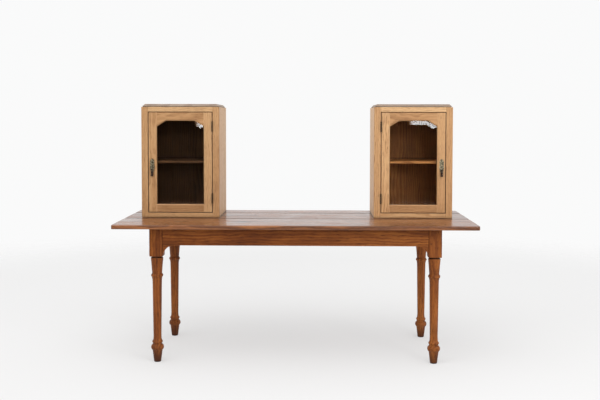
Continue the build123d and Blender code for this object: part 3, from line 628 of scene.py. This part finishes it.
# How much lighter or darker some pieces are than their fellows: mostly the wood's own tone, but
# the face frame's top rail is lightened as painted light and the cabinets' inner sides as
# painted sheen.
TONE_AND_LIGHT = {
    "door_stile_hinge": 0.16,
    "door_stile_lock": 0.0,
    "door_rail_top": -0.10,
    "door_rail_bottom": -0.22,
    "frame_rail_top": 0.36,
    "frame_rail_bottom": 0.06,
    "frame_stile_inner": 0.08,
    "case_side_inner": 0.28,
}
SMOOTH_SIDE = (0.36, 0.50)
FIRST_SEED = 100
DUSTY_CAP = ((0.16, 0.115, 0.085), (0.27, 0.205, 0.155), (0.40, 0.32, 0.25))


def finish_nodes():
    """Every CAD piece takes its own piece of oak, or the metal or glass of its slot."""
    shared = {
        "aged_brass": aged_metal(
            "aged_brass", (0.44, 0.38, 0.25), (0.035, 0.030, 0.020), 0.40, 0.9, 130.0
        ),
        "bronze": aged_metal("bronze", (0.085, 0.055, 0.045), (0.02, 0.014, 0.012), 0.36, 0.9),
        "lock_iron": aged_metal("lock_iron", (0.10, 0.095, 0.09), (0.06, 0.03, 0.02), 0.5, 0.8),
        "bevelled_glass": pane("bevelled_glass"),
    }
    hinge = aged_metal("hinge_patina", (0.075, 0.055, 0.035), (0.025, 0.018, 0.012), 0.5, 0.8)
    chosen = {}
    for number, name in enumerate(sorted(NODES)):
        piece = NODES[name]
        slot = piece.data.materials[0].name
        if "hinge" in name and slot == "aged_brass":
            chosen[name] = hinge
        elif slot in shared:
            chosen[name] = shared[slot]
        else:
            chosen[name] = piece_of_oak(name, slot, random.Random(FIRST_SEED + number))
        piece.data.materials.clear()
        piece.data.materials.append(chosen[name])
    return chosen


def piece_of_oak(name, slot, rng):
    """The oak of one named CAD piece."""
    low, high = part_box(name)
    side, part = name.split("_", 1)
    finish = dict(OAKS[slot])
    extras = {}
    if side in INSIDE_LIGHT_AND_SHADE:
        shade = 1.0 if part.startswith("door") else INSIDE_LIGHT_AND_SHADE[side]
        extras["stained"] = (interior(side), shade)
    if slot == "cabinet_oak":
        # The cabinets' outer wood is darkened as painted shade, the left one more.
        finish["ramp"] = scaled(finish["ramp"], CABINET_SHADE[side])
        if part != "case_cap":
            extras["door"] = door_box(side)
    if part == "case_cap":
        finish["ramp"] = DUSTY_CAP
    if part == "case_side_inner":
        finish["roughness"] = SMOOTH_SIDE
    if name.startswith("top_board"):
        extras["pith"] = (rng.uniform(-0.05, 0.05), -rng.uniform(0.06, 0.09))
        extras["seams"] = []
        if name != "top_board_front":
            extras["seams"].append(low.y)
        if name != "top_board_back":
            extras["seams"].append(high.y)
    if name == "top_board_front":
        along, across = KNOT_PLACE
        extras["knot"] = (
            low.x + along * (high.x - low.x),
            low.y + across * (high.y - low.y),
            0.0,
        )
    return oak(name, (low, high), finish, rng, TONE_AND_LIGHT.get(part, 0.0), **extras)


# ---- worn boards and legs -----------------------------------------------------------------
# Sizes are in metres.
BOARD_STEP = 0.010
CORNER_RADIUS = 0.014
END_ARRIS = 0.004
OUTER_ARRIS = (0.003, 0.006)
SEAM_EDGE = (0.001, 0.0045)
CUP = 0.0019
SCUFF = 0.0005
NIBBLE = 0.0009
STRIPS = 16
# How fast each kind of wear changes along the wood, in cycles a metre.
ARRIS_CYCLES = 16.0
CUP_CYCLES = 2.5
SCUFF_CYCLES = 9.0
NIBBLE_CYCLES = 11.0
SHANK_CYCLES = 24.0
CORNER_CYCLES = 30.0


def wander(place, scale, seed):
    """A smooth random value from 0 to 1 at a place."""
    point = Vector(place) * scale + Vector((seed, seed * 0.37, -seed))
    return min(1.0, max(0.0, 0.5 + 0.75 * noise.noise(point)))


def skin(name, loops, node, body, material):
    """A closed mesh over a stack of loops that have the same number of points, shown in
    place of a CAD piece."""
    build = bmesh.new()
    rows = [[build.verts.new(point) for point in loop] for loop in loops]
    count = len(rows[0])
    for lower, upper in zip(rows, rows[1:]):
        for index in range(count):
            after = (index + 1) % count
            build.faces.new((lower[index], lower[after], upper[after], upper[index]))
    build.faces.new(rows[0])
    build.faces.new(rows[-1])
    bmesh.ops.recalc_face_normals(build, faces=build.faces)
    for face in build.faces:
        face.smooth = len(face.verts) == 4
    mesh = bpy.data.meshes.new(name)
    build.to_mesh(mesh)
    build.free()
    mesh.materials.append(material)
    piece = bpy.data.objects.new(name, mesh)
    SCENE.collection.objects.link(piece)
    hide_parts(node)
    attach(piece, body)
    return piece


def arc(centre, radius, start, steps):
    """Points on a quarter turn, clockwise, that starts at an angle in degrees."""
    turns = [math.radians(start - 90.0 * step / steps) for step in range(steps + 1)]
    return [
        (centre[0] + radius * math.cos(turn), centre[1] + radius * math.sin(turn))
        for turn in turns
    ]


def board_loop(x, y_low, y_high, z_low, z_high, edges, seed):
    """A board's outline across its grain, with worn edges and a slightly cupped top."""
    (low_under, low_over), (high_under, high_over) = edges
    low_over *= 0.75 + 0.5 * wander((x, y_low, 0.0), ARRIS_CYCLES, seed)
    high_over *= 0.75 + 0.5 * wander((x, y_high, 0.0), ARRIS_CYCLES, seed)
    outline = arc((y_low + low_under, z_low + low_under), low_under, 270.0, 3)
    outline += arc((y_low + low_over, z_high - low_over), low_over, 180.0, 6)
    first = y_low + low_over
    last = y_high - high_over
    for step in range(1, STRIPS):
        outline.append((first + (last - first) * step / STRIPS, z_high))
    outline += arc((last, z_high - high_over), high_over, 90.0, 6)
    outline += arc((y_high - high_under, z_low + high_under), high_under, 0.0, 3)
    middle = (y_low + y_high) / 2
    half = (y_high - y_low) / 2
    loop = []
    for y, z in outline:
        weight = (z - z_low) / (z_high - z_low)
        uneven = 0.5 + wander((x, middle, 1.0), CUP_CYCLES, seed)
        bow = abs((y - middle) / half) ** 3 * CUP * uneven
        scuff = SCUFF * wander((x, y, 2.0), SCUFF_CYCLES, seed)
        loop.append((x, y, z - (bow * 0.6 + scuff) * weight))
    return loop


def worn_board(place, exposed, material, seed):
    """One board of the top. exposed tells whether each long edge is an edge of the table."""
    node = "top_board_" + place
    low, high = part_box(node)
    edges = [OUTER_ARRIS if open_edge else SEAM_EDGE for open_edge in exposed]
    ends = [END_ARRIS * (1.0 - math.cos(math.radians(turn))) for turn in (0, 22, 45, 67, 90)]
    ends += [CORNER_RADIUS * part for part in (0.45, 0.7, 1.0)]
    length = high.x - low.x
    count = round((length - 2 * CORNER_RADIUS) / BOARD_STEP)
    inner = [
        CORNER_RADIUS + (length - 2 * CORNER_RADIUS) * step / count for step in range(1, count)
    ]
    stations = ends + inner + [length - reach for reach in reversed(ends)]
    loops = []
    for reach in stations:
        x = low.x + reach
        from_end = min(reach, length - reach)
        short = max(0.0, END_ARRIS - from_end)
        inset = END_ARRIS - math.sqrt(END_ARRIS**2 - short**2)
        lack = max(0.0, CORNER_RADIUS - from_end)
        corner = CORNER_RADIUS - math.sqrt(CORNER_RADIUS**2 - lack**2)
        bounds = []
        for y, open_edge, inward in ((low.y, exposed[0], 1.0), (high.y, exposed[1], -1.0)):
            nibble = NIBBLE * wander((x, y, 3.0), NIBBLE_CYCLES, seed) if open_edge else 0.0
            bounds.append(y + inward * (inset + nibble + (corner if open_edge else 0.0)))
        loops.append(
            board_loop(x, *bounds, low.z + inset * 0.7, high.z - inset * 0.7, edges, seed)
        )
    piece = skin("worn_board_" + place, loops, node, "table", material)


LEG_POINTS = 72
LEG_STEP = 0.004
BLOCK_ROUNDING = 0.0035
BLOCK_EASE = 0.003
SHANK_WEAR = 0.012
CORNER_WEAR = 0.0012
WEAR_RADIUS = 0.03
# A point beyond this share of the block's half width is on the block, and a square's corner
# reaches beyond its side by about this share.
BLOCK_SHARE = 1.12
CORNER_SHARE = 0.41


def leg_profile(node, centre, block_reach):
    """Heights and radii of a leg's turned part, from the foot up, and the block's bottom."""
    points = [vertex.co for vertex in NODES[node].data.vertices]
    radii = [(point.z, math.hypot(point.x - centre.x, point.y - centre.y)) for point in points]
    bottom = min(height for height, radius in radii if radius > block_reach * BLOCK_SHARE)
    rings = {}
    for height, radius in radii:
        if height < bottom + 1e-5 and radius <= block_reach:
            rings.setdefault(round(height, 4), set()).add(round(radius, 4))
    profile = []
    for height in sorted(rings):
        ends = sorted({min(rings[height]), max(rings[height])})
        if profile:
            before = profile[-1][1]
            if abs(ends[-1] - before) < abs(ends[0] - before):
                ends.reverse()
        profile += [(height, radius) for radius in ends]
    return profile, bottom


def square_reach(turn, half, rounding):
    """How far a rounded square reaches from its middle in a direction."""
    across = abs(math.cos(turn))
    along = abs(math.sin(turn))
    flat = half / max(across, along)
    corner = half - rounding
    along_both = across + along
    discriminant = (corner * along_both) ** 2 - (2 * corner**2 - rounding**2)
    if discriminant <= 0.0:
        return flat
    rounded = corner * along_both + math.sqrt(discriminant)
    meets = min(across, along) * flat > corner
    return rounded if meets else flat


def around(centre, turn, reach, height):
    """The point at a direction and a distance from a leg's middle line."""
    return (centre.x + reach * math.cos(turn), centre.y + reach * math.sin(turn), height)


def worn_leg(place, material, seed):
    """A turned leg with its block, its turning slightly worn and out of round."""
    node = "leg_" + place
    low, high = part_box(node)
    centre = (low + high) / 2
    half = min(high.x - low.x, high.y - low.y) / 2
    profile, bottom = leg_profile(node, centre, half)
    dense = [profile[0]]
    for height, radius in profile[1:]:
        before = dense[-1]
        pieces = max(1, round(math.hypot(height - before[0], radius - before[1]) / LEG_STEP))
        for step in range(1, pieces + 1):
            part = step / pieces
            dense.append(
                (before[0] + (height - before[0]) * part, before[1] + (radius - before[1]) * part)
            )
    turns = [math.tau * (index + 0.5) / LEG_POINTS for index in range(LEG_POINTS)]
    loops = []
    for height, radius in dense:
        loop = []
        for turn in turns:
            spot = around(centre, turn, WEAR_RADIUS, height)
            reach = radius * (1.0 - SHANK_WEAR * wander(spot, SHANK_CYCLES, seed))
            loop.append(around(centre, turn, reach, height))
        loops.append(loop)
    heights = [
        (bottom, BLOCK_EASE),
        (bottom + BLOCK_EASE * 0.3, BLOCK_EASE * 0.3),
        (bottom + BLOCK_EASE, 0.0),
    ]
    rise = high.z - bottom - BLOCK_EASE
    count = round(rise / (2 * LEG_STEP))
    heights += [
        (bottom + BLOCK_EASE + rise * step / count, 0.0) for step in range(1, count + 1)
    ]
    for height, ease in heights:
        loop = []
        for turn in turns:
            square = square_reach(turn, half - ease, BLOCK_ROUNDING)
            worn = CORNER_WEAR * wander(around(centre, turn, square, height), CORNER_CYCLES, seed)
            chipped = worn * (square / half - 1.0) / CORNER_SHARE
            loop.append(around(centre, turn, square - max(0.0, chipped), height))
        loops.append(loop)
    piece = skin("worn_leg_" + place, loops, node, "table", material)


def wear_table(materials):
    """The boards and legs of the table with the wear of long use."""
    boards = {"front": (True, False), "middle": (False, False), "back": (False, True)}
    for seed, (place, exposed) in enumerate(boards.items()):
        worn_board(place, exposed, materials["top_board_" + place], 3.1 + 7.7 * seed)
    for seed, place in enumerate(("front_left", "front_right", "back_left", "back_right")):
        worn_leg(place, materials["leg_" + place], 5.3 + 4.9 * seed)


# ---- studio -------------------------------------------------------------------------------
def add_floor():
    """A pale round floor that fades into the backdrop."""
    mesh = bpy.data.meshes.new("studio_floor")
    build = bmesh.new()
    bmesh.ops.create_circle(build, cap_ends=True, radius=FLOOR_RADIUS, segments=96)
    build.to_mesh(mesh)
    build.free()
    floor = bpy.data.objects.new("studio_floor", mesh)
    SCENE.collection.objects.link(floor)
    material, tree, output = new_material("studio_floor")
    where = add(tree, "ShaderNodeTexCoord").outputs["Object"]
    gone = span(tree, length_of(tree, where), *FLOOR_FADE)
    paint = add(tree, "ShaderNodeBsdfDiffuse", {"Color": colour(FLOOR_COLOUR)})
    glow = add(tree, "ShaderNodeEmission", {"Color": (1.0, 1.0, 1.0, 1.0), "Strength": FLOOR_GLOW})
    lit = add(
        tree, "ShaderNodeMixShader", {0: FLOOR_LIFT, 1: paint.outputs[0], 2: glow.outputs[0]}
    )
    clear = add(tree, "ShaderNodeBsdfTransparent")
    both = add(tree, "ShaderNodeMixShader", {0: gone, 1: lit.outputs[0], 2: clear.outputs[0]})
    tree.links.new(both.outputs[0], output.inputs[0])
    mesh.materials.append(material)


def add_camera():
    """The photograph's camera."""
    forward = Vector(
        (
            math.sin(CAMERA_YAW) * math.cos(CAMERA_PITCH),
            math.cos(CAMERA_YAW) * math.cos(CAMERA_PITCH),
            -math.sin(CAMERA_PITCH),
        )
    )
    level = forward.cross(Vector((0.0, 0.0, 1.0))).normalized()
    up = level.cross(forward)
    right = level * math.cos(CAMERA_ROLL) + up * math.sin(CAMERA_ROLL)
    top = up * math.cos(CAMERA_ROLL) - level * math.sin(CAMERA_ROLL)
    data = bpy.data.cameras.new("camera")
    data.lens = CAMERA_LENS
    data.sensor_width = CAMERA_SENSOR
    data.shift_y = CAMERA_SHIFT
    camera = bpy.data.objects.new("camera", data)
    SCENE.collection.objects.link(camera)
    turn = Matrix((right, top, -forward)).transposed().to_4x4()
    camera.matrix_world = Matrix.Translation(CAMERA_PLACE) @ turn
    SCENE.camera = camera


def add_softbox(name, place, aim, size, power):
    """A large soft lamp that faces a point."""
    data = bpy.data.lights.new(name, "AREA")
    data.shape = "RECTANGLE"
    data.size = size[0]
    data.size_y = size[1]
    data.energy = power
    lamp = bpy.data.objects.new(name, data)
    SCENE.collection.objects.link(lamp)
    lamp.location = place
    lamp.rotation_euler = (Vector(aim) - Vector(place)).to_track_quat("-Z", "Y").to_euler()
    lamp.visible_camera = False


def build_world():
    """A white studio all round, dark behind the camera, with one bright window there that
    the bevels of the glass catch."""
    world = bpy.data.worlds.new("studio")
    world.use_nodes = True
    tree = world.node_tree
    tree.nodes.clear()
    ray = add(tree, "ShaderNodeTexCoord").outputs["Generated"]
    parts = add(tree, "ShaderNodeSeparateXYZ", {0: ray}).outputs
    away = calc(tree, "MULTIPLY", parts[1], -1.0)
    heading = calc(tree, "DEGREES", calc(tree, "ARCTAN2", parts[0], away))
    height = calc(tree, "DEGREES", calc(tree, "ARCSINE", parts[2]))
    sky = span(tree, height, *HORIZON, GROUND_GLOW, SKY)

    aside = calc(tree, "ABSOLUTE", heading)
    below_top = span(tree, height, *DARK_TOP, 1.0, 0.0)
    above_bottom = span(tree, height, *DARK_BOTTOM, 0.0, 1.0)
    dark = calc(tree, "MULTIPLY", below_top, above_bottom)
    dark = calc(tree, "MULTIPLY", dark, span(tree, aside, *DARK_SIDE, 1.0, 0.0))
    above_bottom = span(tree, height, *FRONT_BOTTOM)
    below_top = span(tree, height, *FRONT_TOP, 1.0, 0.0)
    front = calc(tree, "MULTIPLY", above_bottom, below_top)
    front = calc(tree, "MULTIPLY", front, span(tree, aside, *FRONT_SIDE, FRONT_SKY, 0.0))
    sky = calc(tree, "ADD", sky, front)
    radiance = add(
        tree, "ShaderNodeMix", {0: dark, 2: sky, 3: BEHIND_CAMERA}, data_type="FLOAT"
    ).outputs[0]

    edge = span(tree, height, *WINDOW_STEP, *WINDOW_EDGES)
    right_of = span(tree, calc(tree, "SUBTRACT", heading, edge), *WINDOW_BLUR)
    across = calc(
        tree, "MULTIPLY", right_of, span(tree, heading, *WINDOW_RIGHT, 1.0, 0.0)
    )
    above = span(tree, height, *WINDOW_BOTTOM)
    upright = calc(tree, "MULTIPLY", above, span(tree, height, *WINDOW_TOP, 1.0, 0.0))
    window = calc(tree, "MULTIPLY", across, upright)
    radiance = calc(tree, "MULTIPLY_ADD", window, WINDOW, radiance)
    shut = calc(tree, "MULTIPLY", dark, calc(tree, "SUBTRACT", 1.0, window))
    tint = mix(tree, shut, (1.0, 1.0, 1.0), ROOM_TINT)

    light = add(tree, "ShaderNodeBackground", {0: tint, 1: radiance})
    seen = add(tree, "ShaderNodeBackground", {0: colour(BACKDROP), 1: 1.0})
    path = add(tree, "ShaderNodeLightPath").outputs["Is Camera Ray"]
    both = add(tree, "ShaderNodeMixShader", {0: path, 1: light.outputs[0], 2: seen.outputs[0]})
    add(tree, "ShaderNodeOutputWorld", {0: both.outputs[0]})
    world.cycles.sampling_method = "MANUAL"
    world.cycles.sample_map_resolution = 2048
    SCENE.world = world


wear_table(finish_nodes())
add_floor()
add_camera()
build_world()
for lamp in LAMPS:
    add_softbox(*lamp)
SCENE.view_settings.view_transform = "Standard"
SCENE.view_settings.look = "None"
